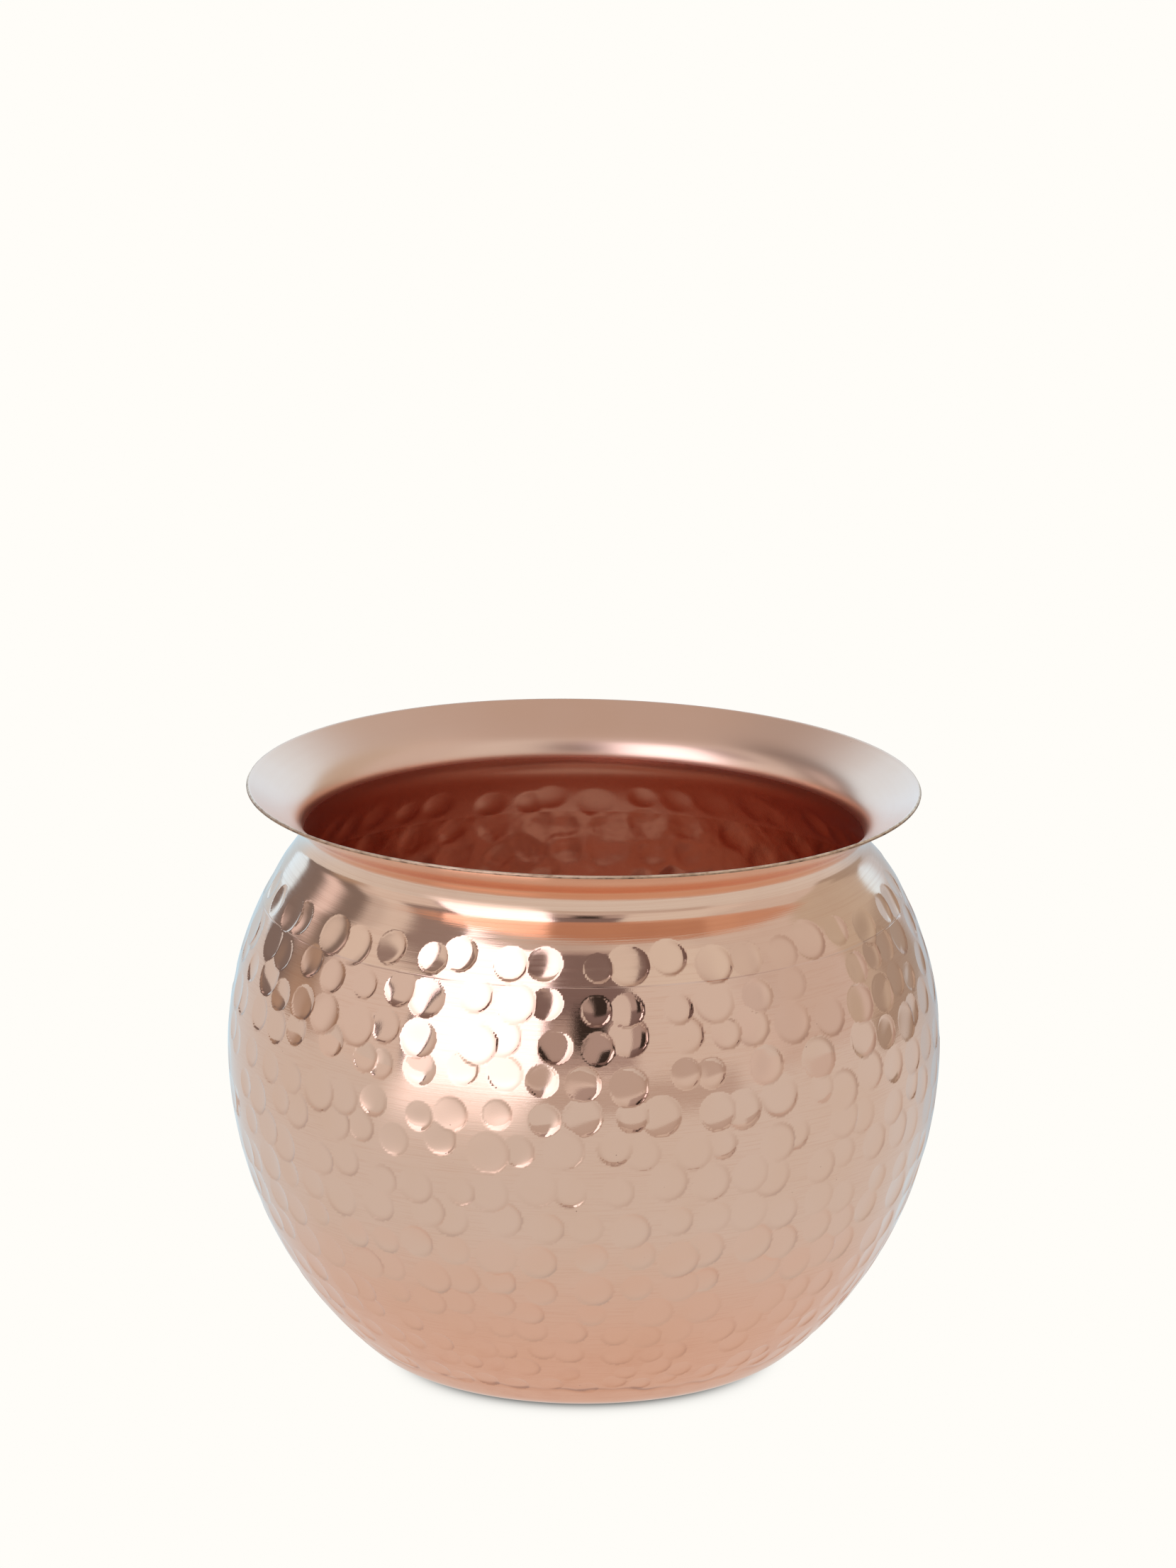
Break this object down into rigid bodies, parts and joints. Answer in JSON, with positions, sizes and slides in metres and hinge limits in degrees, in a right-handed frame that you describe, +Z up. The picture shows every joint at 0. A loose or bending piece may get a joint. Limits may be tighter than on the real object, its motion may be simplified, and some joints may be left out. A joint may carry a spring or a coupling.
{
  "type": "kalash water pot",
  "caption": "Round-bellied hammered copper water pot with a flat base, narrow throat and wide flared lip.",
  "frame": {"origin": "centre of the flat base, on the surface that the pot stands on", "axes": "+Z up along the pot's axis of rotation"},
  "size_m": [0.15, 0.15, 0.1225],
  "materials": {
    "hammered_copper": "polished copper with round hammer marks",
    "spun_copper": "polished copper with fine turning lines",
    "braze_alloy": "satin brazing filler"
  },
  "bodies": {
    "root": {"hammered_bowl": "hammered_copper", "neck_collar": "spun_copper", "shoulder_braze": "braze_alloy"}
  },
  "joints": []
}
